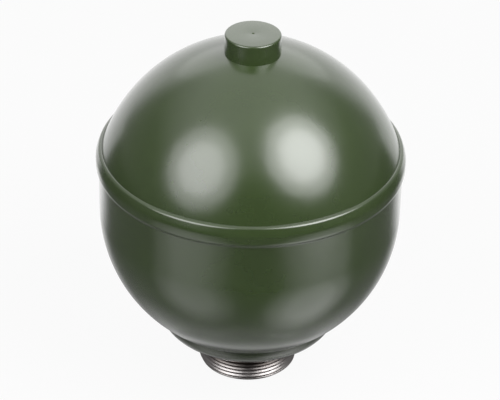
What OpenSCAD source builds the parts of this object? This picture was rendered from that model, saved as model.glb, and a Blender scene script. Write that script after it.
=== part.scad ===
// Diaphragm accumulator, standing on its threaded neck.
// Origin at the centre of the neck's end face, +Z along the axis towards the filler plug. Millimetres.

/* [Neck] */
// Outside diameter of the neck thread
thread_d = 35; // [33:0.5:38]
// Pitch of the neck thread, which sets the end chamfer and the run-out groove
thread_pitch = 1.5; // [1:0.25:2]
// Length of the neck from its end face to the collar's seat
neck_l = 16.6; // [15:0.1:18]
// Outside diameter of the collar under the shell
collar_d = 64; // [60:0.2:68]
// Thickness of the collar beside the hub, from its seat to the shell
collar_t = 2.5; // [1.8:0.1:3]
// Rounding of the collar's lower edge
collar_round = 5.3; // [3:0.1:6]
// Diameter of the hub that passes through the shell
hub_d = 53; // [46:0.5:56]
// Height of the hub's inner face above the collar's seat
hub_h = 4.5; // [4:0.1:5.2]
// Diameter of the port
port_d = 26; // [24:0.2:27]
// Chamfer at the port's mouth
mouth_chamfer = 1.2; // [0.6:0.1:1.6]

/* [Shells] */
// Outside diameter of the fluid shell
shell_d = 106; // [96:0.1:118]
// Wall thickness of both shells
wall = 4.4; // [4:0.1:4.8]
// Straight length of the fluid shell between its half-sphere and the belt
straight_l = 16.6; // [15:0.1:22]
// How far the belt stands proud of the fluid shell
belt_proud = 1; // [0.8:0.1:2]
// Height of the belt from its lower edge to the end of the rolled lip
belt_h = 8.1; // [7.8:0.1:9.5]
// Radius of the rolled lip
lip_round = 5; // [4.6:0.1:5.4]
// How far the lip reaches inward over the dome from the belt's outside
lip_reach = 2.5; // [2.2:0.1:3]
// Wall of the rim around the gas shell's skirt
rim_wall = 1.5; // [1.3:0.1:1.8]
// Height of the dome's crown above the lip
dome_rise = 37.7; // [34:0.1:41]
// Distance from the axis to the centre of the dome's arc, on its far side
dome_arc_offset = 3.7; // [2:0.1:5]
// Radius of the crease between the lip and the dome
crease_r = 0.5; // [0.3:0.1:0.7]

/* [Filler plug] */
// Diameter of the filler plug
plug_d = 19.4; // [16:0.2:22]
// Height of the plug's top above the dome at the plug's edge
plug_h = 7.2; // [5:0.1:10]
// Rounding of the plug's top edge
plug_round = 0.6; // [0.3:0.1:1]
// Diameter of the gas filling hole
fill_hole_d = 6; // [4:0.2:8]
// Diameter of the centre-punch mark in the plug's top
punch_d = 1; // [0.8:0.1:2]

/* [Diaphragm] */
// Thickness of the rubber
rubber_t = 2.5; // [2:0.1:3]
// Diameter of the bead's section
bead_d = 3.8; // [3.4:0.1:4.2]
// Depth of the bead's recess below the gas shell's seat
recess_depth = 5.5; // [5:0.1:6.5]
// Height of the clamp ring's flange
clamp_flange_t = 2; // [1.6:0.1:2.4]
// Reach of the clamp ring's nose inward from the recess wall
clamp_nose_w = 4.4; // [4:0.1:5]
// Diameter of the button's lower flange
button_d = 29; // [27:0.2:32]
// Thickness of the button's flanges
button_flange_t = 1.2; // [1:0.1:1.6]
// Radial depth of the button's groove
button_groove = 3; // [2:0.1:4]

/* [Damper] */
// Depth of the damper's port face below the neck's end face
damper_recess = 4; // [3.6:0.1:4.6]
// Length of the damper's spigot, which the port leaves lie on
spigot_l = 3.5; // [3:0.1:4]
// Width of the gap around the spigot
spigot_gap = 0.85; // [0.7:0.05:1]
// Thickness of the damper's flange
damper_flange_t = 4; // [3.4:0.1:4.4]
// Width of the shoulder that the flange seats on
damper_seat_w = 1.4; // [1.1:0.1:1.7]
// Thickness of one valve leaf
leaf_t = 0.25; // [0.2:0.05:0.3]
// How much smaller in radius each leaf is than the one below it
leaf_step = 0.2; // [0.1:0.05:0.3]
// Diameter of the largest chamber leaf
chamber_leaf_d = 16.4; // [16:0.2:16.8]
// Passages in each direction
passage_count = 4; // [3:1:5]
// Diameter of the passages from the port to the chamber
inflow_d = 2; // [1.6:0.1:2.2]
// Radius at which those passages open under the chamber leaves
inflow_r = 6.4; // [6.2:0.1:6.6]
// Diameter of the passages from the chamber to the port
outflow_d = 2.2; // [1.8:0.1:2.4]
// Radius at which those passages open under the port leaves
outflow_r = 8.4; // [8:0.1:9]
// Diameter of the rivet's head
rivet_head_d = 10.6; // [10:0.2:11.4]
// Thickness of the rivet's head
rivet_head_t = 1; // [0.8:0.1:1.2]
// Diameter of the rivet's shank
rivet_d = 5.2; // [4.6:0.1:5.6]
// Diameter of the bleed hole through the rivet
bleed_d = 1.7; // [1.2:0.1:2]
// Thickness of the leaf spacers
spacer_t = 0.5; // [0.4:0.05:0.6]
// Diameter of the leaf spacers and the rivet's collar
spacer_d = 9; // [8.6:0.1:9.4]
// Height of the rivet's collar
rivet_collar_t = 1.8; // [1.4:0.1:2]
// Thickness of the retaining ring
ring_t = 1.2; // [1:0.1:1.4]
// Depth of the retaining ring's groove in the port wall
ring_groove = 1; // [0.8:0.1:1.2]
// Width of the split in the retaining ring
ring_split = 5; // [3:0.5:7]

/* [Clearances] */
// Gap at welded and pressed seats
seat_gap = 0.05; // [0.03:0.01:0.08]
// Gap around pieces that are placed by hand
slip_gap = 0.1; // [0.08:0.01:0.14]
// Gap between the moving button and everything around it
moving_gap = 0.3; // [0.25:0.05:0.4]

/* [Hidden] */
$fn = 96;

green = [0.24, 0.29, 0.19];
steel = [0.72, 0.71, 0.70];
blued = [0.27, 0.40, 0.45];
straw = [0.55, 0.47, 0.30];
rubber = [0.07, 0.07, 0.07];
sintered = [0.42, 0.36, 0.30];

// Neck
thread_r = thread_d / 2;
thread_depth = 0.613 * thread_pitch;
runout_w = 1.5 * thread_pitch;
port_r = port_d / 2;
collar_r = collar_d / 2;
hub_r = hub_d / 2;
hub_z = neck_l + hub_h;

// Shells: the half-sphere sits on the collar around the hub
shell_r = shell_d / 2;
inner_r = shell_r - wall;
seat_r = shell_r + seat_gap;
shell_z = neck_l + collar_t + sqrt(pow(seat_r, 2) - pow(hub_r, 2));
belt_r = shell_r + belt_proud;
belt_z = shell_z + straight_l;
lip_z = belt_z + belt_h;
lip_r = belt_r - lip_reach;
lip_axis_z = lip_z - sqrt(pow(lip_round, 2) - pow(lip_round - lip_reach, 2));

// Heights at which the hub meets the shell's inner face and the collar its outer face
hub_rim_z = shell_z - sqrt(pow(inner_r, 2) - pow(hub_r, 2));
collar_z = shell_z - sqrt(pow(seat_r, 2) - pow(collar_r, 2));

// The skirt of the gas shell seats in the rim, on the clamp ring's flange
rim_bore_r = belt_r - rim_wall;
rim_seat_z = belt_z + belt_proud / 2;
skirt_r = rim_bore_r - seat_gap;
skirt_z = rim_seat_z + clamp_flange_t;

// The dome's arc starts at the lip and passes through the crown
dome_start_r = lip_r + dome_arc_offset;
dome_drop = (pow(dome_start_r, 2) - pow(dome_arc_offset, 2) - pow(dome_rise, 2)) / (2 * dome_rise);
dome_arc_r = norm([dome_start_r, dome_drop]);
dome_z = lip_z - dome_drop;

// Height of the dome's outer face at a radius, and of the face under the wall
function dome_height(r, depth = 0) = dome_z + sqrt(pow(dome_arc_r - depth, 2) - pow(r + dome_arc_offset, 2));

// Filler plug
plug_r = plug_d / 2;
plug_z = dome_height(plug_r) + plug_h;
fill_r = fill_hole_d / 2;

// Diaphragm and what holds it
cup_r = inner_r - moving_gap;
bead_r = bead_d / 2;
recess_r = cup_r + bead_r;
bead_seat_z = rim_seat_z - recess_depth;
bead_axis_r = recess_r - slip_gap - bead_r;
bead_axis_z = bead_seat_z + slip_gap + bead_r;
clamp_nose_z = bead_axis_z + bead_r + seat_gap;
clamp_inner_r = recess_r - clamp_nose_w;
clamp_round = clamp_flange_t / 2;
button_r = button_d / 2;
button_z = hub_z + moving_gap;
web_z = button_z + button_flange_t + moving_gap;
button_waist_r = button_r - button_groove;
button_top_z = web_z + rubber_t + moving_gap;

// Damper, with as many leaves on each side as there are leaf nodes
leaf_count = 3;
damper_z = damper_recess;
damper_flange_z = damper_z + spigot_l;
damper_seat_z = damper_flange_z + damper_flange_t;
throat_r = port_r - damper_seat_w;
damper_r = port_r - seat_gap;
spigot_r = port_r - spigot_gap;
leaf_stack = leaf_count * leaf_t;
port_leaf_r = spigot_r - slip_gap;
chamber_leaf_r = chamber_leaf_d / 2;
ring_z = damper_flange_z - ring_t;
ring_outer_r = port_r + ring_groove - slip_gap;
ring_inner_r = port_r - spigot_gap / 2;
rivet_r = rivet_d / 2;
rivet_hole_r = rivet_r + seat_gap;
spacer_r = spacer_d / 2;
port_spacer_z = damper_z - leaf_stack - spacer_t;
rivet_head_z = port_spacer_z - rivet_head_t;
chamber_spacer_z = damper_seat_z + leaf_stack;
rivet_collar_z = chamber_spacer_z + spacer_t;
rivet_end_z = rivet_collar_z + rivet_collar_t;
rivet_round = rivet_head_t / 3;

// A rectangle in the section plane, from one radius and height to another
module band(r0, r1, z0, z1) {
    translate([r0, z0]) square([r1 - r0, z1 - z0]);
}

// The half of a circle's section that lies outside the axis
module ball(r, z) {
    intersection() {
        translate([0, z]) circle(r);
        band(0, r, z - r, z + r);
    }
}

// A deep cup's section: a half ball with a straight wall above it
module cup(r, z_top) {
    intersection() {
        ball(r, shell_z);
        band(0, r, shell_z - r, shell_z);
    }
    band(0, r, shell_z, z_top);
}

// The dome's section, from its outer face moved outward by grow
module dome(grow) {
    intersection() {
        translate([-dome_arc_offset, dome_z]) circle(dome_arc_r + grow);
        band(0, dome_arc_r, dome_z, dome_z + 2 * dome_arc_r);
    }
}

// A disc's section with its upper edge rounded
module round_top(r, z0, z1, edge) {
    band(0, r - edge, z0, z1);
    band(0, r, z0, z1 - edge);
    translate([r - edge, z1 - edge]) circle(edge);
}

// A disc's section with its lower edge rounded
module round_bottom(r, z0, z1, edge) {
    band(0, r - edge, z0, z1);
    band(0, r, z0 + edge, z1);
    translate([r - edge, z0 + edge]) circle(edge);
}

module turned() {
    rotate_extrude() children();
}

// A plain ring between two radii
module ring(r0, r1, z0, z1) {
    turned() band(r0, r1, z0, z1);
}

module fluid_shell() {
    color(green) turned() difference() {
        union() {
            cup(shell_r, belt_z + belt_proud);
            polygon([[0, belt_z], [shell_r, belt_z], [belt_r, belt_z + belt_proud], [0, belt_z + belt_proud]]);
            round_top(belt_r, belt_z + belt_proud, lip_axis_z + lip_round, lip_round);
        }
        cup(inner_r, rim_seat_z);
        band(0, recess_r, bead_seat_z, rim_seat_z);
        intersection() {
            dome(seat_gap);
            band(0, rim_bore_r, rim_seat_z, lip_z + lip_round);
        }
        translate([lip_r, lip_z]) circle(crease_r);
        band(0, hub_r + seat_gap, 0, shell_z);
    }
}

module gas_shell() {
    color(green) turned() difference() {
        intersection() {
            dome(0);
            band(0, skirt_r, skirt_z, dome_z + dome_arc_r);
        }
        dome(-wall);
        band(0, fill_r, skirt_z, dome_z + dome_arc_r);
    }
}

module filler_plug() {
    punch_r = punch_d / 2;
    color(green) turned() difference() {
        union() {
            difference() {
                round_top(plug_r, skirt_z, plug_z, plug_round);
                dome(seat_gap);
            }
            band(0, fill_r - seat_gap, dome_height(fill_r, wall), plug_z - plug_round);
        }
        polygon([[0, plug_z - punch_r], [punch_r, plug_z], [punch_r, plug_z + punch_r], [0, plug_z + punch_r]]);
    }
}

// The turned neck: the hub welded into the shell, the collar, the thread's blank and the stepped port
module neck_fitting() {
    mouth_r = port_r + mouth_chamfer;
    color(steel) turned() difference() {
        union() {
            polygon([
                [0, 0], [thread_r - thread_depth, 0], [thread_r, thread_depth],
                [thread_r, neck_l], [0, neck_l]
            ]);
            difference() {
                round_bottom(collar_r, neck_l, collar_z, min(collar_round, collar_z - neck_l));
                ball(seat_r, shell_z);
            }
            band(0, hub_r, neck_l, hub_z);
            difference() {
                band(0, hub_r, neck_l, hub_rim_z);
                ball(inner_r, shell_z);
            }
        }
        band(thread_r - thread_depth, thread_r + thread_depth, neck_l - runout_w, neck_l);
        band(0, port_r, 0, damper_seat_z);
        band(0, throat_r, damper_seat_z, shell_z);
        polygon([[0, 0], [mouth_r, 0], [port_r, mouth_chamfer], [0, mouth_chamfer]]);
        band(0, port_r + ring_groove, ring_z - slip_gap, damper_flange_z);
    }
}

// Rubber cup at rest: against the shell, flat across the button, with the bead at its rim
module diaphragm() {
    color(rubber) turned() {
        intersection() {
            difference() {
                cup(cup_r, bead_axis_z);
                cup(cup_r - rubber_t, bead_axis_z);
            }
            band(0, cup_r, web_z + rubber_t / 2, bead_axis_z);
        }
        intersection() {
            ball(cup_r, shell_z);
            band(button_waist_r + moving_gap, cup_r, web_z, web_z + rubber_t);
        }
        translate([cup_r - rubber_t / 2, bead_axis_z]) circle(rubber_t / 2);
        translate([bead_axis_r, bead_axis_z]) circle(bead_r);
    }
}

// L-section ring: the flange under the gas shell's skirt, and the nose that presses on the bead
module diaphragm_clamp_ring() {
    color(steel) turned() {
        band(clamp_inner_r + clamp_round, skirt_r, rim_seat_z, skirt_z);
        band(clamp_inner_r + clamp_round, recess_r - seat_gap, clamp_nose_z, rim_seat_z);
        band(clamp_inner_r, recess_r - seat_gap, clamp_nose_z + clamp_round, skirt_z - clamp_round);
        for (z = [clamp_nose_z + clamp_round, skirt_z - clamp_round])
            translate([clamp_inner_r + clamp_round, z]) circle(clamp_round);
    }
}

// Metal spool in the middle of the diaphragm
module diaphragm_button() {
    color(steel) turned() {
        band(0, button_r, button_z, button_z + button_flange_t);
        band(0, button_waist_r, button_z, button_top_z);
        round_top(button_r, button_top_z, button_top_z + button_flange_t, button_flange_t / 2);
    }
}

// A straight passage between two points of the section
module passage(from, to, d) {
    run = to - from;
    overshoot = d;
    translate([from[0], 0, from[1]])
        rotate([0, atan2(run[0], run[1]), 0])
            translate([0, 0, -overshoot]) cylinder(h = norm(run) + 2 * overshoot, d = d);
}

module damper_body() {
    inflow_mouth = [spigot_r, damper_z + spigot_l / 2];
    inflow_end = [inflow_r, damper_seat_z];
    outflow_mouth = [throat_r - outflow_d / 2 - slip_gap, damper_seat_z];
    outflow_end = [outflow_r, damper_z];
    color(sintered) difference() {
        union() {
            ring(rivet_hole_r, spigot_r, damper_z, damper_flange_z);
            ring(rivet_hole_r, damper_r, damper_flange_z, damper_seat_z);
        }
        for (i = [0 : passage_count - 1]) {
            rotate(i * 360 / passage_count) passage(inflow_mouth, inflow_end, inflow_d);
            rotate((i + 0.5) * 360 / passage_count) passage(outflow_end, outflow_mouth, outflow_d);
        }
    }
}

module damper_rivet() {
    color(steel) turned() difference() {
        union() {
            round_bottom(rivet_head_d / 2, rivet_head_z, rivet_head_z + rivet_head_t, rivet_round);
            band(0, rivet_r, rivet_head_z, rivet_end_z);
        }
        band(0, bleed_d / 2, rivet_head_z, rivet_end_z);
    }
}

module rivet_collar() {
    color(steel) ring(rivet_hole_r, spacer_r, rivet_collar_z, rivet_end_z);
}

module leaf_spacer(z) {
    color(steel) ring(rivet_hole_r, spacer_r, z, z + spacer_t);
}

// Leaf i of a stack, counted from the damper's face outward
module port_valve_leaf(i) {
    z = damper_z - i * leaf_t;
    color(i == leaf_count ? blued : straw) ring(rivet_hole_r, port_leaf_r - (i - 1) * leaf_step, z, z + leaf_t);
}

module chamber_valve_leaf(i) {
    z = damper_seat_z + (i - 1) * leaf_t;
    color(blued) ring(rivet_hole_r, chamber_leaf_r - (i - 1) * leaf_step, z, z + leaf_t);
}

// Split ring in the port's groove, under the damper's flange
module damper_retaining_ring() {
    color(straw) difference() {
        ring(ring_inner_r, ring_outer_r, ring_z, damper_flange_z);
        translate([0, -ring_split / 2, ring_z - ring_t]) cube([2 * ring_outer_r, ring_split, 3 * ring_t]);
    }
}

fluid_shell();
gas_shell();
filler_plug();
neck_fitting();
diaphragm();
diaphragm_clamp_ring();
diaphragm_button();
damper_body();
damper_rivet();
rivet_collar();
leaf_spacer(port_spacer_z);  // port_leaf_spacer
leaf_spacer(chamber_spacer_z);  // chamber_leaf_spacer
port_valve_leaf(1);  // port_valve_leaf_1
port_valve_leaf(2);  // port_valve_leaf_2
port_valve_leaf(3);  // port_valve_leaf_3
chamber_valve_leaf(1);  // chamber_valve_leaf_1
chamber_valve_leaf(2);  // chamber_valve_leaf_2
chamber_valve_leaf(3);  // chamber_valve_leaf_3
damper_retaining_ring();
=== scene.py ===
# %% [markdown]
# # A diaphragm accumulator
# This lesson dresses one hydraulic accumulator, a green painted pressure vessel that stands on its threaded
# neck. Its solids are ready, so Blender's share is the finish: smooth turned skins, a real thread on the
# neck, paint, bare steel and rubber. The solids are loaded first as a fixed frame, and every new piece is
# modelled in the same place.

# %% Load the frame
import math

import bmesh
import bpy
from mathutils import Matrix, Vector


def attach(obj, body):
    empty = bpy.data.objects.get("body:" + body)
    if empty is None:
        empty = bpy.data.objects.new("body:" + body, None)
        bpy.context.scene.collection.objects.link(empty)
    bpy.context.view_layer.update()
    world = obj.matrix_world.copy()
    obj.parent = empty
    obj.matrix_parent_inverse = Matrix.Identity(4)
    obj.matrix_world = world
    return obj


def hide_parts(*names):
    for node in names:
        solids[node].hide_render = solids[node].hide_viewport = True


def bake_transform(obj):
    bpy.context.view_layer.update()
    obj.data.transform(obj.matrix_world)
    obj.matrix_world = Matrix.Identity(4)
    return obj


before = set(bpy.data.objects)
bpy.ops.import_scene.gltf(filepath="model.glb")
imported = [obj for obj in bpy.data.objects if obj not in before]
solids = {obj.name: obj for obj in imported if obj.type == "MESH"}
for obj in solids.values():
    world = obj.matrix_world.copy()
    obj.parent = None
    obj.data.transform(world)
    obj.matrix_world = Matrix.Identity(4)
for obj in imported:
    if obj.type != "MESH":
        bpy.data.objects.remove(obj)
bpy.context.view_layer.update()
mm = 0.001

# %% [markdown]
# ## The camera
# A product photographer stands back and uses a long lens, which keeps the vessel's outline round. The camera
# looks down by a little over a third of a right angle. The small roll matches a camera that wasn't quite
# level. Angles are in radians.

# %% Camera
camera_place = Vector((0, -700, 514.2)) * mm
look_down = 0.569
camera_roll = 0.019
image_width_px = 500
focal_length_px = 2355

camera_data = bpy.data.cameras.new("camera")
camera_data.sensor_width = 36
camera_data.lens = focal_length_px * camera_data.sensor_width / image_width_px
camera_data.clip_start = 0.01
camera = bpy.data.objects.new("camera", camera_data)
tilt = Matrix.Rotation(math.pi / 2 - look_down, 4, "X")
camera.matrix_world = Matrix.Translation(camera_place) @ tilt @ Matrix.Rotation(camera_roll, 4, "Z")
bpy.context.scene.collection.objects.link(camera)
bpy.context.scene.camera = camera
print("lens", round(camera_data.lens, 1), "mm")

# %% [markdown]
# ## A lathe in bmesh
# Nearly every piece here was turned or drawn round one axis, so each starts as half a section and is spun.
# When the spin is done, doubled points are welded, the faces are turned outward and the mesh is shaded
# smooth, with sharp edges only where two faces meet at a clear angle.

# %% Finished pieces
sharp_angle = math.radians(32)
weld_distance = 1e-7


def finished(bm, name):
    """Welds, turns the faces outward and makes the object."""
    bmesh.ops.remove_doubles(bm, verts=bm.verts[:], dist=weld_distance)
    bmesh.ops.recalc_face_normals(bm, faces=bm.faces[:])
    mesh = bpy.data.meshes.new(name)
    bm.to_mesh(mesh)
    open_edges = sum(not edge.is_manifold for edge in bm.edges)
    bm.free()
    mesh.shade_smooth()
    mesh.set_sharp_from_angle(angle=sharp_angle)
    piece = bpy.data.objects.new(name, mesh)
    bpy.context.scene.collection.objects.link(piece)
    print(name, "faces", len(mesh.polygons), "open edges", open_edges)
    return piece


print("edges over", round(math.degrees(sharp_angle)), "degrees stay sharp")

# %% [markdown]
# The section is drawn with operators too: a straight run extrudes the last point and moves it, and a round
# run spins the last point about a centre. Corners that the maker broke are bevelled while the section is
# still a wire.

# %% Lathe
turn_steps = 192


def angle_of(r, z):
    """Angle in degrees of a point seen from the origin of the section, up from the radius."""
    return math.degrees(math.atan2(z, r))


class Section:
    """Half a section in the plane Y = 0, drawn from point to point and then spun about Z."""

    def __init__(self, r, z, bm=None):
        self.bm = bm or bmesh.new()
        self.start = self.bm.verts.new((r, 0, z))
        self.tip = self.start
        self.corners = []

    def line(self, r, z, broken=0):
        """A straight run to a point, whose corner is rounded off by the length broken."""
        self.tip = bmesh.ops.extrude_vert_indiv(self.bm, verts=[self.tip])["verts"][0]
        self.tip.co = (r, 0, z)
        if broken:
            self.corners.append((self.tip, broken))
        return self

    def arc(self, r, z, degrees, steps):
        """A round run about a centre, anticlockwise with the radius to the right and Z up."""
        swept = bmesh.ops.spin(
            self.bm, geom=[self.tip], cent=(r, 0, z), axis=(0, -1, 0),
            angle=math.radians(degrees), steps=steps, use_duplicate=False)
        self.tip = next(part for part in swept["geom_last"] if isinstance(part, bmesh.types.BMVert))
        return self

    def closed(self):
        """Joins the last point to the first."""
        bmesh.ops.contextual_create(self.bm, geom=[self.tip, self.start])
        return self

    def rounded(self):
        """Rounds the marked corners while the section is still a wire."""
        for corner, size in self.corners:
            bmesh.ops.bevel(
                self.bm, geom=[corner], offset=size, affect="VERTICES",
                segments=4, profile=0.5, material=-1)
        return self

    def spun(self, steps=turn_steps):
        """One full turn about Z of all the wire edges."""
        wire = [edge for edge in self.bm.edges if edge.is_wire]
        points = list({vert for edge in wire for vert in edge.verts})
        bmesh.ops.spin(
            self.bm, geom=points + wire, cent=(0, 0, 0), axis=(0, 0, 1),
            angle=math.tau, steps=steps, use_merge=True, use_duplicate=False)
        return self.bm


print("a turn has", turn_steps, "steps")

# %% [markdown]
# ## The lower shell
# The fluid half is a deep drawn cup: half a ball, a short straight wall, then a belt whose lip is rolled over
# the dome to close the vessel. A cylinder and a sphere joined by a boolean would leave hard seams, so the
# whole wall is one closed section, inside and out. Its sizes come first, up from the neck's end face.

# %% Lower shell sizes
wall = 4.4 * mm
gap = 0.05 * mm
shell_r = 53 * mm
neck_l = 16.6 * mm
hub_r = 26.5 * mm
collar_t = 2.5 * mm
straight_l = 16.6 * mm
belt_proud = 1 * mm
belt_h = 8.1 * mm
rim_wall = 1.5 * mm
recess_w = 1.6 * mm
recess_depth = 5.5 * mm

inner_r = shell_r - wall
hub_bore_r = hub_r + gap
seat_r = shell_r + gap
shell_z = neck_l + collar_t + math.sqrt(seat_r ** 2 - hub_r ** 2)
belt_r = shell_r + belt_proud
belt_z = shell_z + straight_l
lip_z = belt_z + belt_h
rim_bore_r = belt_r - rim_wall
rim_seat_z = belt_z + belt_proud / 2
recess_r = inner_r + recess_w
recess_z = rim_seat_z - recess_depth
print("belt", round(2 * belt_r / mm, 1), "mm across, lip ends at", round(lip_z / mm, 2), "mm")

# %% [markdown]
# The roller bent the lip over in one sweep with a firmer shoulder in the middle. So the lip is a wide arc,
# a shoulder, a narrow land and a small inner edge. The shoulder's arc touches two tangents of the wide arc,
# one at its slope and one at its end, and the land runs along the second. One bevel would be quicker, but
# the shoulder and the land are what give the lip its light line.

# %% Rolled lip
lip_round = 5 * mm
lip_reach = 2.5 * mm
lip_slope = 22
lip_shoulder = 1.2 * mm
lip_edge = 0.5 * mm
lip_back = 0.85 * mm

lip_r = belt_r - lip_reach
lip_axis_r = belt_r - lip_round
top_cos = (lip_round - lip_reach) / lip_round
top_sin = math.sqrt(1 - top_cos ** 2)
lip_top = math.degrees(math.acos(top_cos))
lip_axis_z = lip_z - lip_round * top_sin
lip_bend = lip_top - lip_slope
lip_middle = math.radians((lip_top + lip_slope) / 2)
shoulder_shift = (lip_round - lip_shoulder) / math.cos(math.radians(lip_bend / 2))
shoulder_axis_r = lip_axis_r + shoulder_shift * math.cos(lip_middle)
shoulder_axis_z = lip_axis_z + shoulder_shift * math.sin(lip_middle)
shoulder_r = shoulder_axis_r + lip_shoulder * math.cos(math.radians(lip_slope))
shoulder_z = shoulder_axis_z + lip_shoulder * math.sin(math.radians(lip_slope))
edge_axis_r = lip_r + lip_back * top_sin - lip_edge * top_cos
edge_axis_z = lip_z - lip_back * top_cos - lip_edge * top_sin
print("lip turns", round(lip_top), "degrees, its shoulder", round(lip_bend), "of them")

# %% [markdown]
# The dome meets the lip in a small round crease. The dome's arc has to be known here, because the crease
# ends on it: the arc starts where the lip ends and rises to the crown.

# %% Dome arc and crease
dome_rise = 37.7 * mm
dome_offset = 3.7 * mm
crease_r = 0.5 * mm

dome_start_r = lip_r + dome_offset
dome_drop = (dome_start_r ** 2 - dome_offset ** 2 - dome_rise ** 2) / (2 * dome_rise)
dome_arc_r = math.hypot(dome_start_r, dome_drop)
dome_z = lip_z - dome_drop


def dome_height(r, depth=0.0):
    """Height of the dome's face at a radius, or of a face that lies deeper by depth."""
    return dome_z + math.sqrt((dome_arc_r - depth) ** 2 - (r + dome_offset) ** 2)


edge_span = math.hypot(lip_back, lip_edge)
edge_cut = math.acos((lip_edge ** 2 + edge_span ** 2 - crease_r ** 2) / (2 * lip_edge * edge_span))
edge_end = math.radians(lip_top + angle_of(lip_edge, lip_back)) - edge_cut
edge_sweep = math.degrees(edge_end) - lip_top
crease_from = angle_of(
    edge_axis_r - lip_r + lip_edge * math.cos(edge_end),
    edge_axis_z - lip_z + lip_edge * math.sin(edge_end))
crease_sweep = crease_from - angle_of(dome_start_r, dome_drop) + 90
print("dome's arc", round(dome_arc_r / mm, 1), "mm, crease turns", round(crease_sweep), "degrees")

# %% [markdown]
# Now the shell's section can be drawn in one go: up the outside, over the lip, down into the crease, and back
# through the rim's bore, the recess for the rubber's bead and the inside of the ball.

# %% Lower shell
edge_break = 0.3 * mm
belt_edge = 0.95 * mm
outer_sweep = math.degrees(math.acos(hub_bore_r / shell_r))
inner_sweep = math.degrees(math.acos(hub_bore_r / inner_r))

lower = Section(hub_bore_r, shell_z - math.sqrt(shell_r ** 2 - hub_bore_r ** 2))
lower.arc(0, shell_z, outer_sweep, 48)
lower.line(shell_r, belt_z, broken=edge_break)
lower.line(belt_r, belt_z + belt_proud, broken=belt_edge)
lower.line(belt_r, lip_axis_z)
lower.arc(lip_axis_r, lip_axis_z, lip_slope, 6)
lower.line(shoulder_r, shoulder_z)
lower.arc(shoulder_axis_r, shoulder_axis_z, lip_bend, 10)
lower.line(edge_axis_r + lip_edge * top_cos, edge_axis_z + lip_edge * top_sin)
lower.arc(edge_axis_r, edge_axis_z, edge_sweep, 4)
lower.arc(lip_r, lip_z, -crease_sweep, 5)
lower.line(rim_bore_r, dome_height(rim_bore_r, -gap))
lower.line(rim_bore_r, rim_seat_z)
lower.line(recess_r, rim_seat_z)
lower.line(recess_r, recess_z)
lower.line(inner_r, recess_z)
lower.line(inner_r, shell_z)
lower.arc(0, shell_z, -inner_sweep, 40)
lower_shell = finished(lower.closed().rounded().spun(), "lower_shell_skin")
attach(lower_shell, "vessel")
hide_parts("fluid_shell")

# %% [markdown]
# ## The dome
# The gas half is a shallower pressing. Its section is one arc whose centre lies a little past the axis, which
# makes the crown slightly pointed under the plug. The skirt goes down inside the rolled rim, as far as the
# ring that clamps the rubber.

# %% Dome
fill_r = 3 * mm
clamp_flange_t = 2 * mm
skirt_r = rim_bore_r - gap
skirt_z = rim_seat_z + clamp_flange_t
deep_arc_r = dome_arc_r - wall


def dome_angle(r, arc_r):
    """Angle along an arc about the dome's centre at a radius from the axis."""
    return math.degrees(math.acos((r + dome_offset) / arc_r))


skirt_in_angle = math.degrees(math.asin((skirt_z - dome_z) / deep_arc_r))
skirt_in_r = deep_arc_r * math.cos(math.radians(skirt_in_angle)) - dome_offset

crown = Section(fill_r, dome_height(fill_r))
crown.arc(-dome_offset, dome_z, dome_angle(skirt_r, dome_arc_r) - dome_angle(fill_r, dome_arc_r), 64)
crown.line(skirt_r, skirt_z)
crown.line(skirt_in_r, skirt_z)
crown.arc(-dome_offset, dome_z, dome_angle(fill_r, deep_arc_r) - skirt_in_angle, 48)
dome = finished(crown.closed().spun(), "dome_skin")
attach(dome, "vessel")
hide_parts("gas_shell")

# %% [markdown]
# ## The filler plug
# The gas is let in through a small hole at the crown, which is then closed by a welded stud. The stud's top
# edge is only just broken, so it catches the light. A centre punch has left a small pit in the middle of the
# top. A cylinder with a bevel would do for the stud, but its foot follows the dome, so it is turned too.

# %% Filler plug
plug_r = 9.7 * mm
plug_h = 7.2 * mm
plug_round = 0.75 * mm
punch_r = 0.5 * mm
plug_z = dome_height(plug_r) + plug_h
stem_r = fill_r - gap
seat_arc_r = dome_arc_r + gap

stud = Section(0, dome_height(fill_r, wall))
stud.line(stem_r, dome_height(fill_r, wall))
stud.line(stem_r, dome_height(stem_r, -gap))
stud.arc(-dome_offset, dome_z, dome_angle(plug_r, seat_arc_r) - dome_angle(stem_r, seat_arc_r), 8)
stud.line(plug_r, plug_z - plug_round)
stud.arc(plug_r - plug_round, plug_z - plug_round, 90, 8)
stud.line(punch_r, plug_z, broken=punch_r / 4)
stud.line(0, plug_z - punch_r)
plug = finished(stud.rounded().spun(), "filler_plug_skin")
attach(plug, "vessel")
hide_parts("filler_plug")

# %% [markdown]
# ## The threaded neck
# The neck was turned from bar: a hub welded into the shell, a collar, a flat seat and a fine right-hand
# thread. Rings stacked on a cylinder would look close but would never screw in, so the thread is a real
# helix. It starts as one ridge, drawn as a wire. Wear has blunted it: the flanks are steep at the root and
# slack above, up to a narrow crest.

# %% Thread ridge
thread_r = 17.5 * mm
pitch = 1.5 * mm
thread_depth = 0.5 * pitch
crest_flat = 0.07 * mm
worn_depth = 0.45 * mm
worn_angle = math.radians(50)
flank_angle = math.radians(30)
spare_turns = 2

root_r = thread_r - thread_depth
worn_r = thread_r - worn_depth
worn = worn_depth * math.tan(worn_angle)
flank = (thread_depth - worn_depth) * math.tan(flank_angle)
root_flat = pitch - crest_flat - 2 * worn - 2 * flank
low_z = -spare_turns * pitch
crest_z = low_z + root_flat + flank + worn
worn_break = worn_depth / 5
crest_break = crest_flat * 0.45

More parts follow.
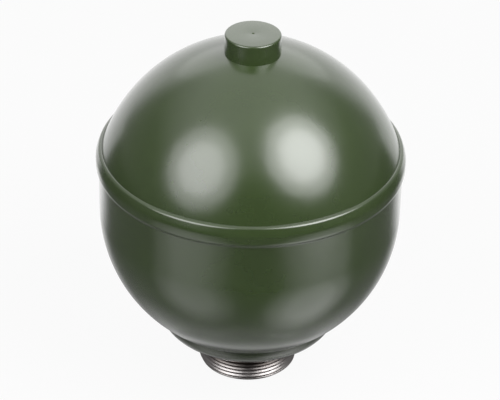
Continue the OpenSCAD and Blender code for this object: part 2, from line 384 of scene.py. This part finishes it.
ridge = Section(root_r, low_z)
ridge.line(root_r, low_z + root_flat)
ridge.line(worn_r, crest_z - worn, broken=worn_break)
ridge.line(thread_r, crest_z, broken=crest_break)
ridge.line(thread_r, crest_z + crest_flat, broken=crest_break)
ridge.line(worn_r, crest_z + crest_flat + worn, broken=worn_break)
ridge.line(root_r, low_z + pitch)
neck_bm = ridge.rounded().bm
print("ridge of", len(neck_bm.verts), "points,", round(thread_depth / mm, 2), "mm deep")

# %% [markdown]
# Spin carries the ridge round while dvec lifts it by one pitch a turn. That turn is copied up the neck, two
# cuts trim the helix, and both ends are turned down to a chamfer.

# %% Thread helix
thread_steps = 128
turn_weld = 1e-6
runout = 1.5 * pitch
thread_top = neck_l - runout
helix_turns = math.ceil(thread_top / pitch) + 2 * spare_turns

bmesh.ops.spin(
    neck_bm, geom=neck_bm.verts[:] + neck_bm.edges[:], cent=(0, 0, 0), axis=(0, 0, 1),
    dvec=(0, 0, pitch / thread_steps), angle=math.tau, steps=thread_steps)
one_turn = neck_bm.verts[:] + neck_bm.edges[:] + neck_bm.faces[:]
for count in range(1, helix_turns):
    copy = bmesh.ops.duplicate(neck_bm, geom=one_turn)["geom"]
    moved = [part for part in copy if isinstance(part, bmesh.types.BMVert)]
    bmesh.ops.translate(neck_bm, verts=moved, vec=(0, 0, pitch * count))
bmesh.ops.remove_doubles(neck_bm, verts=neck_bm.verts[:], dist=turn_weld)
for cut_z, below in ((0, True), (thread_top, False)):
    everything = neck_bm.verts[:] + neck_bm.edges[:] + neck_bm.faces[:]
    bmesh.ops.bisect_plane(
        neck_bm, geom=everything, dist=weld_distance, plane_co=(0, 0, cut_z), plane_no=(0, 0, 1),
        clear_inner=below, clear_outer=not below)
for vert in neck_bm.verts:
    allowed_r = root_r + min(vert.co.z, thread_top - vert.co.z)
    turned_down = min(1, allowed_r / vert.co.xy.length)
    vert.co.xy *= turned_down
print("thread faces", len(neck_bm.faces), "over", round(thread_top / pitch, 1), "turns")

# %% [markdown]
# The rest of the neck has a port with a groove for a retaining ring, a seat for the damper, a hub and a
# collar. The collar's outer edge is a wide round that runs out in a slope to a firm lower edge.

# %% Neck body sizes
port_r = 13 * mm
mouth_chamfer = 1.2 * mm
damper_seat_w = 1.4 * mm
damper_seat_z = 11.5 * mm
groove_depth = 1 * mm
groove_z = 6.2 * mm
groove_top_z = 7.5 * mm
hub_h = 4.5 * mm
collar_r = 32 * mm
collar_round = 5.3 * mm
collar_slope = 48
collar_edge = 0.6 * mm

throat_r = port_r - damper_seat_w
groove_r = port_r + groove_depth
hub_z = neck_l + hub_h
hub_rim_z = shell_z - math.sqrt(inner_r ** 2 - hub_r ** 2)
hub_flat_r = math.sqrt(inner_r ** 2 - (shell_z - hub_z) ** 2)
hub_sweep = angle_of(hub_r, hub_rim_z - shell_z) - angle_of(hub_flat_r, hub_z - shell_z)
hub_foot = -math.sqrt(seat_r ** 2 - hub_r ** 2)
collar_z = shell_z - math.sqrt(seat_r ** 2 - collar_r ** 2)
collar_sweep = angle_of(collar_r, collar_z - shell_z) - angle_of(hub_r, hub_foot)
collar_cos = math.cos(math.radians(collar_slope))
collar_sin = math.sin(math.radians(collar_slope))
collar_axis_r = collar_r - collar_round
collar_edge_r = collar_axis_r + (collar_round - collar_edge) * (1 - collar_sin) / collar_cos
print("collar radius", round(collar_r / mm, 1), "mm, its lower edge at", round(collar_edge_r / mm, 1), "mm")

# %% [markdown]
# The turned body is drawn as an open section that starts beside the thread's lower end, goes through the port
# and round the hub and collar, and stops beside the thread's upper end. It is spun into the same bmesh, and
# bridges join it to the thread.

# %% Neck body
join = 0.3 * mm
near_rim = 1.5 * join

body = Section(root_r - join, 0, neck_bm)
body.line(port_r + mouth_chamfer, 0)
body.line(port_r, mouth_chamfer)
body.line(port_r, groove_z)
body.line(groove_r, groove_z)
body.line(groove_r, groove_top_z)
body.line(port_r, groove_top_z)
body.line(port_r, damper_seat_z)
body.line(throat_r, damper_seat_z)
body.line(throat_r, hub_z)
body.line(hub_flat_r, hub_z)
body.arc(0, shell_z, hub_sweep, 6)
body.line(hub_r, shell_z + hub_foot)
body.arc(0, shell_z, collar_sweep, 6)
body.line(collar_r, neck_l + collar_round)
body.arc(collar_axis_r, neck_l + collar_round, -collar_slope, 8)
body.line(collar_edge_r + collar_edge * collar_cos, neck_l + collar_edge - collar_edge * collar_sin)
body.arc(collar_edge_r, neck_l + collar_edge, collar_slope - 90, 6)
body.line(root_r, neck_l)
body.line(root_r, thread_top + join)
body.spun()

for height in (0, thread_top):
    rims = [edge for edge in neck_bm.edges if edge.is_boundary
            and all(abs(vert.co.z - height) < near_rim for vert in edge.verts)]
    bmesh.ops.bridge_loops(neck_bm, edges=rims)
neck = finished(neck_bm, "threaded_neck")
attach(neck, "vessel")
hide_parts("neck_fitting")

# %% [markdown]
# ## The rubber diaphragm
# Inside, a rubber cup keeps the gas from the fluid. Its rim has a bead that is clamped under the dome, and
# its middle holds a metal button. When fluid comes in, the button rises and the rubber rolls after it. A
# rolling fold would need a simulation at each pose, so this piece is one fixed cup.

# %% Diaphragm
rubber_t = 2.5 * mm
moving_gap = 0.3 * mm
slip_gap = 0.1 * mm
web_rise = 1.8 * mm
waist_r = 11.8 * mm
bead_r = 1.9 * mm
bead_sweep = 240

cup_r = inner_r - moving_gap
cup_in_r = cup_r - rubber_t
web_low = hub_z + web_rise
web_high = web_low + rubber_t
bead_axis_r = recess_r - slip_gap - bead_r
bead_axis_z = recess_z + slip_gap + bead_r
bead_foot = math.sqrt(bead_r ** 2 - (cup_r - bead_axis_r) ** 2)


def on_ball(r, z):
    """Radius at a height of a ball about the shell's centre."""
    return math.sqrt(r ** 2 - (shell_z - z) ** 2)


cup = Section(waist_r, web_low)
cup.line(on_ball(cup_r, web_low), web_low)
cup.arc(0, shell_z, -angle_of(on_ball(cup_r, web_low), web_low - shell_z), 48)
cup.line(cup_r, bead_axis_z - bead_foot)
cup.arc(bead_axis_r, bead_axis_z, bead_sweep, 20)
cup.line(cup_in_r, bead_axis_z)
cup.line(cup_in_r, shell_z)
cup.arc(0, shell_z, angle_of(on_ball(cup_in_r, web_high), web_high - shell_z), 48)
cup.line(waist_r, web_high)
diaphragm = finished(cup.closed().spun(96), "diaphragm_rubber_cup")
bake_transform(diaphragm)
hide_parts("diaphragm")

# %% [markdown]
# ## Building materials with nodes
# A finish is a small tree of nodes. A few helpers keep the trees short: one adds a node and fills its sockets
# with a value or a link, one starts a group and one starts a material with its Principled shader. Patterns
# read Object coordinates, which are metres in the vessel's own frame, so a scale of 1000 means one feature in
# each millimetre.

# %% Node helpers
def fill(tree, node, inputs):
    """Fills a node's sockets with values, or links them from other sockets."""
    for socket, value in inputs.items():
        if isinstance(value, bpy.types.NodeSocket):
            tree.links.new(value, node.inputs[socket])
        else:
            node.inputs[socket].default_value = value


def add(tree, kind, inputs=None, **settings):
    """A new shader node with its settings and its sockets filled."""
    node = tree.nodes.new("ShaderNode" + kind)
    for key, value in settings.items():
        setattr(node, key, value)
    fill(tree, node, inputs or {})
    return node


def group(name, inputs, outputs):
    """A new shader node group, as (tree, sockets given, sockets to fill)."""
    tree = bpy.data.node_groups.new(name, "ShaderNodeTree")
    for socket, kind in inputs.items():
        tree.interface.new_socket(socket, in_out="INPUT", socket_type="NodeSocket" + kind)
    for socket, kind in outputs.items():
        tree.interface.new_socket(socket, in_out="OUTPUT", socket_type="NodeSocket" + kind)
    return tree, tree.nodes.new("NodeGroupInput").outputs, tree.nodes.new("NodeGroupOutput").inputs


def material(name):
    """A new material, as (material, tree, Principled shader)."""
    made = bpy.data.materials.new(name)
    made.use_nodes = True
    return made, made.node_tree, made.node_tree.nodes["Principled BSDF"]


print("node helpers ready")

# %% [markdown]
# Some nodes come back in every finish: a colour ramp, a value carried to another range, two colours or two
# values mixed, a sum, and a bump that turns a height into a normal. Each gets a short helper that gives back
# the socket to link on.

# %% Value and colour helpers
def ramp(tree, factor, *stops):
    """A colour ramp from stops of (place, colour)."""
    node = add(tree, "ValToRGB", {"Fac": factor})
    ends = node.color_ramp.elements
    for end, (place, colour) in ((ends[0], stops[0]), (ends[1], stops[-1])):
        end.position = place
        end.color = (*colour, 1)
    for place, colour in stops[1:-1]:
        ends.new(place).color = (*colour, 1)
    return node.outputs["Color"]


def between(tree, value, from_low, from_high, low, high):
    """A value carried from one range to another and kept inside it."""
    node = add(tree, "MapRange", {
        "Value": value, "From Min": from_low, "From Max": from_high, "To Min": low, "To Max": high})
    return node.outputs["Result"]


def mixed(tree, factor, first, second):
    """A colour that goes from the first to the second as the factor goes from 0 to 1."""
    node = add(tree, "Mix", data_type="RGBA")
    fill(tree, node, {"Factor": factor, 6: first, 7: second})
    return node.outputs[2]


def weighed(tree, factor, first, second):
    """A value that goes from the first to the second as the factor goes from 0 to 1."""
    return add(tree, "Mix", {"Factor": factor, "A": first, "B": second}).outputs["Result"]


def reckoned(tree, operation, *values):
    """What a Math node makes of its values."""
    return add(tree, "Math", dict(enumerate(values)), operation=operation).outputs["Value"]


def relief(tree, height, strength, distance):
    """The normal of a surface with a height pressed into it."""
    return add(tree, "Bump", {"Height": height, "Strength": strength, "Distance": distance}).outputs["Normal"]


def from_axis(tree, split):
    """Distance from the Z axis of a place that is split into X, Y and Z."""
    flat = add(tree, "CombineXYZ", {"X": split["X"], "Y": split["Y"]}).outputs["Vector"]
    return add(tree, "VectorMath", {0: flat}, operation="LENGTH").outputs["Value"]


print("value and colour helpers ready")

# %% [markdown]
# ## Shared effects
# Turned metal carries fine rings that a cutting tool left. A ring pattern could come from a wave texture, but
# its lines would be too even. They run round the axis, so the group adds the radius and the height and feeds
# the sum to a one-dimensional noise, once fine and once ten times broader.

# %% Turning marks
def build_turning_marks():
    """Rings round Z, with the radius and the height for masks."""
    tree, given, out = group(
        "turning_marks", {"Lines per metre": "Float"},
        {"Groove": "Float", "Band": "Float", "Radius": "Float", "Height": "Float"})
    place = add(tree, "TexCoord").outputs["Object"]
    split = add(tree, "SeparateXYZ", {"Vector": place}).outputs
    radius = from_axis(tree, split)
    along = reckoned(tree, "ADD", radius, split["Z"])
    slower = reckoned(tree, "MULTIPLY", given["Lines per metre"], 0.1)
    fine = add(tree, "TexNoise", {"W": along, "Scale": given["Lines per metre"]}, noise_dimensions="1D")
    broad = add(tree, "TexNoise", {"W": along, "Scale": slower}, noise_dimensions="1D")
    tree.links.new(fine.outputs["Fac"], out["Groove"])
    tree.links.new(broad.outputs["Fac"], out["Band"])
    tree.links.new(radius, out["Radius"])
    tree.links.new(split["Z"], out["Height"])
    return tree


turning_marks = build_turning_marks()


def turned(tree, lines_per_metre):
    """The turning marks placed in a material."""
    return add(tree, "Group", {"Lines per metre": lines_per_metre}, node_tree=turning_marks).outputs


print("group", turning_marks.name)

# %% [markdown]
# Mottle is a soft cloud with a finer grain beside it. It keeps paint, steel and rubber from looking like one
# flat colour, and each finish sets how large its clouds and grains are.

# %% Mottle
def build_mottle():
    """Soft clouds and a finer grain."""
    tree, given, out = group(
        "mottle", {"Clouds per metre": "Float", "Grains per metre": "Float"},
        {"Cloud": "Float", "Grain": "Float"})
    place = add(tree, "TexCoord").outputs["Object"]
    cloud = add(tree, "TexNoise", {"Vector": place, "Scale": given["Clouds per metre"], "Detail": 4.0})
    grain = add(tree, "TexNoise", {"Vector": place, "Scale": given["Grains per metre"], "Detail": 2.0})
    tree.links.new(cloud.outputs["Fac"], out["Cloud"])
    tree.links.new(grain.outputs["Fac"], out["Grain"])
    return tree


mottle = build_mottle()


def mottled(tree, clouds_per_metre, grains_per_metre):
    """The mottle placed in a material."""
    sizes = {"Clouds per metre": clouds_per_metre, "Grains per metre": grains_per_metre}
    return add(tree, "Group", sizes, node_tree=mottle).outputs


print("group", mottle.name)

# %% [markdown]
# ## Green paint
# The vessel has one sprayed coat of olive green. Sprayed paint is never quite even: the colour and the gloss
# drift in soft clouds, and the skin is gently wavy. A plain colour with one roughness would look like
# plastic. The glossy skin is the shader's own coat layer. The neck's collar wears the same paint, so its
# colour, roughness and waviness are a group that both materials use.

# %% Paint
coat_weight = 0.9
skin_gloss = 0.2


def build_sprayed_coat():
    """Colour, roughness and skin height of the sprayed coat."""
    tree, _, out = group("sprayed_coat", {}, {"Color": "Color", "Roughness": "Float", "Skin": "Float"})
    drift = mottled(tree, 28.0, 260.0)
    soft = weighed(tree, 0.2, drift["Cloud"], drift["Grain"])
    tone = between(tree, soft, 0.3, 0.7, 0, 1)
    colour = ramp(tree, tone, (0.0, (0.0235, 0.040, 0.0105)), (1.0, (0.0315, 0.052, 0.0145)))
    gloss = between(tree, drift["Cloud"], 0.3, 0.7, 0.2, 0.26)
    tree.links.new(colour, out["Color"])
    tree.links.new(gloss, out["Roughness"])
    tree.links.new(drift["Cloud"], out["Skin"])
    return tree


sprayed_coat = build_sprayed_coat()
green_paint, tree, shader = material("green_paint")
coat = add(tree, "Group", node_tree=sprayed_coat).outputs
fill(tree, shader, {
    "Base Color": coat["Color"], "Roughness": coat["Roughness"],
    "Normal": relief(tree, coat["Skin"], 0.5, 1.0 * mm),
    "Coat Weight": coat_weight, "Coat Roughness": skin_gloss})
print("material", green_paint.name)

# %% [markdown]
# ## The neck's bare steel
# One bar of steel shows four finishes. The collar has a thin, greyer coat of paint down to its lower edge,
# which is also darker as painted shade.
# The seat is bare and browned by heat and oil. The upper turns of the thread get the same brown as painted
# shade, for the collar's shadow on them. The lower turns and the end face are bright, and the bore has a
# yellow tint. Radius and height tell them apart, so one material can paint the borders where a mask would
# otherwise need a second mesh. A cloud makes the paint's border ragged.

# %% Neck borders
paint_ragged = 1.6 * mm
paint_from = 28.7 * mm
paint_to = 29.2 * mm

neck_steel, tree, shader = material("neck_steel")
marks = turned(tree, 5200.0)
stain = mottled(tree, 130.0, 2600.0)
coat = add(tree, "Group", node_tree=sprayed_coat).outputs
ragged = reckoned(tree, "MULTIPLY_ADD", stain["Cloud"], paint_ragged, marks["Radius"])
painted = between(tree, ragged, paint_from, paint_to, 0, 1)
# Above this height the colour is brown: real on the seat, painted shade on the upper turns of the thread.
brown_seat_and_shaded_turns = between(tree, marks["Height"], 3.5 * mm, 8 * mm, 0, 1)
off_bore = between(tree, marks["Radius"], port_r + 0.9 * mm, port_r + 1.3 * mm, 0, 1)
# Painted shade: the thread's roots get a darker colour than its crests and its end face.
open_crest = between(tree, marks["Radius"], root_r, worn_r, 0, 1)
unshaded_end = between(tree, marks["Height"], 0.6 * mm, 1.2 * mm, 1, 0)
unshaded_parts = reckoned(tree, "MAXIMUM", open_crest, unshaded_end)
paint_low = paint_from - paint_ragged
print("paint ends between radius", round(paint_low / mm, 1), "and", round(paint_to / mm, 1), "mm")

# %% [markdown]
# Each finish has two shades that follow the tool's bands or the stain. The thread's roots are darkened as
# painted shade, while the crests and the end face keep the bright colour.

# %% Neck steel
bright = ramp(tree, marks["Band"], (0.3, (0.30, 0.283, 0.278)), (0.7, (0.40, 0.378, 0.373)))
root_shaded_steel = mixed(tree, unshaded_parts, (0.22, 0.205, 0.20, 1), bright)
worked = weighed(tree, 0.5, stain["Cloud"], marks["Band"])
# This brown is the seat's own colour and, on the upper turns of the thread, painted shade.
brown_and_painted_shade = ramp(tree, worked, (0.36, (0.026, 0.019, 0.015)), (0.62, (0.085, 0.064, 0.050)))
yellowed = ramp(tree, stain["Cloud"], (0.35, (0.42, 0.33, 0.17)), (0.65, (0.55, 0.47, 0.30)))
outside = mixed(tree, brown_seat_and_shaded_turns, root_shaded_steel, brown_and_painted_shade)
bare = mixed(tree, off_bore, yellowed, outside)
# The collar's coat is greyer paint, and darker as painted shade.
thin_coat_and_shade = mixed(tree, 0.5, coat["Color"], (0.022, 0.023, 0.020, 1))
bare_rough = between(tree, marks["Groove"], 0.3, 0.7, 0.27, 0.37)
height = weighed(tree, painted, marks["Groove"], coat["Skin"])
fill(tree, shader, {
    "Base Color": mixed(tree, painted, bare, thin_coat_and_shade),
    "Roughness": weighed(tree, painted, bare_rough, coat["Roughness"]),
    "Metallic": between(tree, painted, 0, 1, 1, 0),
    "Normal": relief(tree, height, 0.15, 0.2 * mm),
    "Coat Weight": between(tree, painted, 0, 1, 0, coat_weight),
    "Coat Roughness": skin_gloss, "Specular Tint": (0.4, 0.38, 0.37, 1)})
print("material", neck_steel.name)

# %% [markdown]
# ## The small parts
# The damper in the port is a stack of little pieces, each with its own making. Rivet, spacers, button and
# clamp ring are plain turned steel: bright, with fine rings that vary its gloss. Anisotropy would stretch the
# glints too, but real rings in the bump also show from close by.

# %% Turned steel
turned_steel, tree, shader = material("turned_steel")
marks = turned(tree, 7000.0)
stain = mottled(tree, 200.0, 3000.0)
sheen = weighed(tree, 0.5, marks["Band"], stain["Cloud"])
fill(tree, shader, {
    "Base Color": ramp(tree, sheen, (0.35, (0.50, 0.49, 0.475)), (0.6, (0.68, 0.67, 0.65))),
    "Roughness": between(tree, marks["Groove"], 0.3, 0.7, 0.2, 0.36),
    "Normal": relief(tree, marks["Groove"], 0.12, 0.1 * mm), "Metallic": 1.0})
print("material", turned_steel.name)

# %% [markdown]
# Spring leaves are tempered by heat, which leaves an oxide film. Its colour runs from straw to violet and
# blue with the film's thickness. Real film colour could be calculated, but a ramp over soft clouds is easier
# to steer, and one function makes both the blued and the straw leaves.

# %% Heat tints
def heat_tinted(name, *stops):
    """Polished spring steel under an oxide film whose colour follows the stops."""
    made, tree, shader = material(name)
    film = mottled(tree, 75.0, 1800.0)
    marks = turned(tree, 3000.0)
    fill(tree, shader, {
        "Base Color": ramp(tree, film["Cloud"], *stops),
        "Roughness": between(tree, film["Grain"], 0.3, 0.7, 0.2, 0.34),
        "Normal": relief(tree, marks["Groove"], 0.06, 0.1 * mm), "Metallic": 1.0})
    print("material", name)
    return made


teal = (0.075, 0.18, 0.19)
sky = (0.10, 0.20, 0.34)
violet = (0.17, 0.14, 0.27)
straw = (0.42, 0.30, 0.14)
bronze = (0.24, 0.15, 0.08)
blued_steel = heat_tinted("blued_steel", (0.33, teal), (0.5, sky), (0.6, teal), (0.72, violet))
straw_steel = heat_tinted("straw_steel", (0.35, bronze), (0.65, straw))

# %% [markdown]
# The damper's block is pressed from metal powder, so it is dull and speckled, with fine pores between the
# grains. The grain drives both the colour and the bump, so that the dark specks are also the low ones.

# %% Sintered metal
sintered_metal, tree, shader = material("sintered_metal")
powder = mottled(tree, 700.0, 3500.0)
fill(tree, shader, {
    "Base Color": ramp(tree, powder["Grain"], (0.35, (0.11, 0.09, 0.075)), (0.65, (0.27, 0.22, 0.18))),
    "Roughness": between(tree, powder["Cloud"], 0.3, 0.7, 0.48, 0.68),
    "Normal": relief(tree, powder["Grain"], 0.4, 0.15 * mm), "Metallic": 0.85})
print("material", sintered_metal.name)

# %% [markdown]
# The retaining ring is plated and passivated yellow. The bath leaves a thin film that shifts from yellow to
# pink in patches, so three colours share one ramp.

# %% Yellow passivation
passivated_steel, tree, shader = material("yellow_passivated_steel")
film = mottled(tree, 160.0, 2400.0)
colour = ramp(
    tree, film["Cloud"], (0.35, (0.46, 0.38, 0.16)), (0.5, (0.52, 0.42, 0.22)), (0.65, (0.50, 0.33, 0.24)))
fill(tree, shader, {
    "Base Color": colour,
    "Roughness": between(tree, film["Grain"], 0.3, 0.7, 0.24, 0.4),
    "Normal": relief(tree, film["Grain"], 0.1, 0.1 * mm), "Metallic": 1.0})
print("material", passivated_steel.name)

# %% [markdown]
# ## Rubber
# The diaphragm was moulded, so it copies the fine grain of its mould and has a little bloom, the grey haze
# that wax in the rubber leaves on the surface. The grain is a bump and the bloom is a paler cloud.

# %% Rubber
rubber, tree, shader = material("diaphragm_rubber")
grain = mottled(tree, 60.0, 2200.0)
fill(tree, shader, {
    "Base Color": ramp(tree, grain["Cloud"], (0.35, (0.010, 0.010, 0.010)), (0.7, (0.024, 0.024, 0.023))),
    "Roughness": between(tree, grain["Grain"], 0.3, 0.7, 0.52, 0.68),
    "Normal": relief(tree, grain["Grain"], 0.25, 0.15 * mm)})
print("material", rubber.name)

# %% [markdown]
# ## Dressing the pieces
# New pieces take a material outright. The ready-made solids keep their meshes, so only their material slots
# change.

# %% Dress
finishes = {
    green_paint: (lower_shell, dome, plug),
    neck_steel: (neck,),
    rubber: (diaphragm,),
    turned_steel: [solids[name] for name in (
        "diaphragm_clamp_ring", "diaphragm_button", "damper_rivet", "rivet_collar",
        "port_leaf_spacer", "chamber_leaf_spacer")],
    blued_steel: [solids[name] for name in (
        "port_valve_leaf_3", "chamber_valve_leaf_1", "chamber_valve_leaf_2", "chamber_valve_leaf_3")],
    straw_steel: [solids["port_valve_leaf_1"], solids["port_valve_leaf_2"]],
    sintered_metal: [solids["damper_body"]],
    passivated_steel: [solids["damper_retaining_ring"]],
}
for finish, pieces in finishes.items():
    for piece in pieces:
        piece.data.materials.clear()
        piece.data.materials.append(finish)
    print(finish.name, "on", len(pieces), "pieces")

# %% [markdown]
# ## The studio
# Product shots use a white sweep and a few soft boxes. The sweep is one flat sheet here, a hair below the
# vessel's foot. A curved backdrop isn't needed, because the world behind it is white as well.

# %% Floor
floor_z = -0.3 * mm
floor_half = 4
floor_mesh = bpy.data.meshes.new("floor")
floor_bm = bmesh.new()
floor_place = Matrix.Translation((0, 0, floor_z))
bmesh.ops.create_grid(floor_bm, x_segments=1, y_segments=1, size=floor_half, matrix=floor_place)
floor_bm.to_mesh(floor_mesh)
floor_bm.free()
floor = bpy.data.objects.new("floor", floor_mesh)
bpy.context.scene.collection.objects.link(floor)
print("floor at", round(floor_z / mm, 2), "mm")

# %% [markdown]
# The glossy paint mirrors the sheet, so what it shows there matters. That picture is painted light.
# It is bright behind the vessel and falls off towards the camera and to the sides, as a sweep that is lit
# from behind does, which keeps the front of the paint dark. It holds a painted shadow under the belly and a
# painted glow close in front of the foot.

# %% Floor in reflections
def grey(level):
    """A grey as a colour."""
    return (level, level, level)


def vectors(tree, operation, inputs):
    """The vector or colour that a Vector Math node makes."""
    return add(tree, "VectorMath", inputs, operation=operation).outputs["Vector"]


side_share = -0.8
sweep, tree, shader = material("pale_sweep")
place = add(tree, "SeparateXYZ", {"Vector": add(tree, "TexCoord").outputs["Object"]}).outputs
aside = reckoned(tree, "ABSOLUTE", place["X"])
behind = reckoned(tree, "MULTIPLY_ADD", aside, side_share, place["Y"])
falloff = ramp(
    tree, between(tree, behind, -0.1, 0.1, 0, 1),
    (0.1, grey(0.05)), (0.3, grey(0.06)), (0.4, grey(0.25)), (0.5, grey(0.6)), (0.65, grey(1)))
around = from_axis(tree, place)
# A painted glow on the sheet close in front of the foot.
painted_foot_glow = ramp(
    tree, between(tree, around, 0, 0.25, 0, 1),
    (0.09, grey(0)), (0.112, grey(0.75)), (0.144, grey(0.42)), (0.28, grey(0)),
    (0.5, grey(0.01)), (0.75, grey(0.05)))
near_side = between(tree, place["Y"], -0.012, 0.004, 1, 0)
painted_front_glow = vectors(tree, "SCALE", {0: painted_foot_glow, "Scale": near_side})
# A painted shadow on the sheet under the belly.
painted_belly_shadow = between(tree, around, 0.025, 0.065, 0.3, 1)
shaded = vectors(tree, "SCALE", {0: falloff, "Scale": painted_belly_shadow})
painted_sheet_light = vectors(tree, "ADD", {0: shaded, 1: painted_front_glow})
print("material", sweep.name)

# %% [markdown]
# The sheet is pale. Light path rays make it white where the camera looks at it, and give reflections the
# picture above with a slight polish. A share of plain shading stays in it, so the vessel still casts its soft
# shadow. Seen from below the sheet is clear, so that views of the underside aren't blocked.

# %% Floor shader
polish_share = 0.17
white_share = 0.93
white = (1, 1, 1, 1)


def shaders(tree, factor, first, second):
    """A shader that goes from the first to the second as the factor goes from 0 to 1."""
    return add(tree, "MixShader", {"Fac": factor, 1: first, 2: second}).outputs["Shader"]


fill(tree, shader, {"Base Color": (*grey(0.45), 1), "Roughness": 0.5})
plain = shader.outputs["BSDF"]
ray = add(tree, "LightPath").outputs
pale = add(tree, "Emission", {"Color": painted_sheet_light}).outputs["Emission"]
polish = add(tree, "BsdfGlossy", {"Color": white, "Roughness": 0.12}).outputs["BSDF"]
seen_in_gloss = shaders(tree, polish_share, pale, polish)
paper = add(tree, "Emission", {"Color": white}).outputs["Emission"]
seen_direct = shaders(tree, white_share, plain, paper)
glossy = reckoned(tree, "MAXIMUM", ray["Is Glossy Ray"], ray["Is Transmission Ray"])
lit = shaders(tree, glossy, plain, seen_in_gloss)
top = shaders(tree, ray["Is Camera Ray"], lit, seen_direct)
clear = add(tree, "BsdfTransparent").outputs["BSDF"]
under = add(tree, "NewGeometry").outputs["Backfacing"]
both = shaders(tree, under, top, clear)
tree.links.new(both, tree.nodes["Material Output"].inputs["Surface"])
floor_mesh.materials.append(sweep)
print("floor is", round(white_share, 2), "white to the camera")

# %% [markdown]
# The room around the vessel is the world. The camera sees it white, and it lights the vessel with a weak even
# grey. Reflections see a backdrop that is white behind the vessel and dark towards the camera, and a bright
# ceiling that starts higher on the camera's side. Modelled walls would do the same, but would also block
# other views.

# %% World
room_level = 0.13
ceiling_lean = 0.22
world = bpy.data.worlds.new("studio")
bpy.context.scene.world = world
world.use_nodes = True
tree = world.node_tree
ray = add(tree, "LightPath").outputs
mirrored = reckoned(tree, "ADD", ray["Is Glossy Ray"], ray["Is Transmission Ray"])
facing = add(tree, "TexCoord").outputs["Generated"]
level = vectors(tree, "MULTIPLY", {0: facing, 1: (1, 1, 0)})
bearing = vectors(tree, "NORMALIZE", {0: level})
backwards = add(tree, "SeparateXYZ", {"Vector": bearing}).outputs["Y"]
upwards = add(tree, "SeparateXYZ", {"Vector": facing}).outputs["Z"]
backdrop = ramp(
    tree, between(tree, backwards, -1, 1, 0, 1),
    (0.0, grey(0.08)), (0.7, grey(0.24)), (0.83, grey(0.27)), (0.91, grey(1)))
in_front = reckoned(tree, "MINIMUM", backwards, 0.0)
slanted = reckoned(tree, "MULTIPLY_ADD", in_front, ceiling_lean, upwards)
ceiling = ramp(tree, slanted, (0.35, grey(0)), (0.8, grey(1)))
room = vectors(tree, "MAXIMUM", {0: backdrop, 1: ceiling})
room_light = add(tree, "Background", {"Color": white, "Strength": room_level}).outputs["Background"]
room_seen = add(tree, "Background", {"Color": room}).outputs["Background"]
room_white = add(tree, "Background", {"Color": white}).outputs["Background"]
reflected = shaders(tree, mirrored, room_light, room_seen)
all_rays = shaders(tree, ray["Is Camera Ray"], reflected, room_white)
tree.links.new(all_rays, tree.nodes["World Output"].inputs["Surface"])
bpy.context.scene.view_settings.view_transform = "Standard"
print("world", world.name)

# %% [markdown]
# Two round soft boxes stand left and right of the camera and leave the two bright patches on the dome. A real
# box is brightest in its middle, so each has a smaller lamp a little in front of it. A weak wide one behind
# lights the top of the plug and the far edge of the dome. An area lamp's power is its radiance times its area
# times pi, so the lamps are given by the brightness that a reflection shows. Sizes are in metres.

# %% Lamps
aim = Vector((0, 0, 70 * mm))
box_distance = 0.9
box_size = 0.88
box_share = 0.45
middle_distance = 0.86
middle_size = 0.52
middle_share = 0.55


def soft_box(name, azimuth, elevation, distance, width, height, radiance):
    """An area lamp that looks at the vessel; azimuth turns from the camera's side towards +X."""
    turn, rise = math.radians(azimuth), math.radians(elevation)
    towards = Vector((math.sin(turn) * math.cos(rise), -math.cos(turn) * math.cos(rise), math.sin(rise)))
    lamp_data = bpy.data.lights.new(name, "AREA")
    lamp_data.shape = "ELLIPSE"
    lamp_data.size = width
    lamp_data.size_y = height
    lamp_data.energy = radiance * math.pi * math.pi / 4 * width * height
    lamp = bpy.data.objects.new(name, lamp_data)
    faced = (-towards).to_track_quat("-Z", "Y").to_matrix().to_4x4()
    lamp.matrix_world = Matrix.Translation(aim + towards * distance) @ faced
    lamp.visible_camera = False
    bpy.context.scene.collection.objects.link(lamp)
    print(name, "energy", round(lamp_data.energy, 2), "W")


for side, azimuth, elevation, radiance in (("left", -46, 38, 5.1), ("right", 55, 45, 8.0)):
    soft_box(side + "_soft_box", azimuth, elevation, box_distance, box_size, box_size, radiance * box_share)
    soft_box(
        side + "_soft_box_middle", azimuth, elevation, middle_distance,
        middle_size, middle_size, radiance * middle_share)
soft_box("back_soft_box", 180, 33, 1.3, 1.7, 0.9, 0.65)
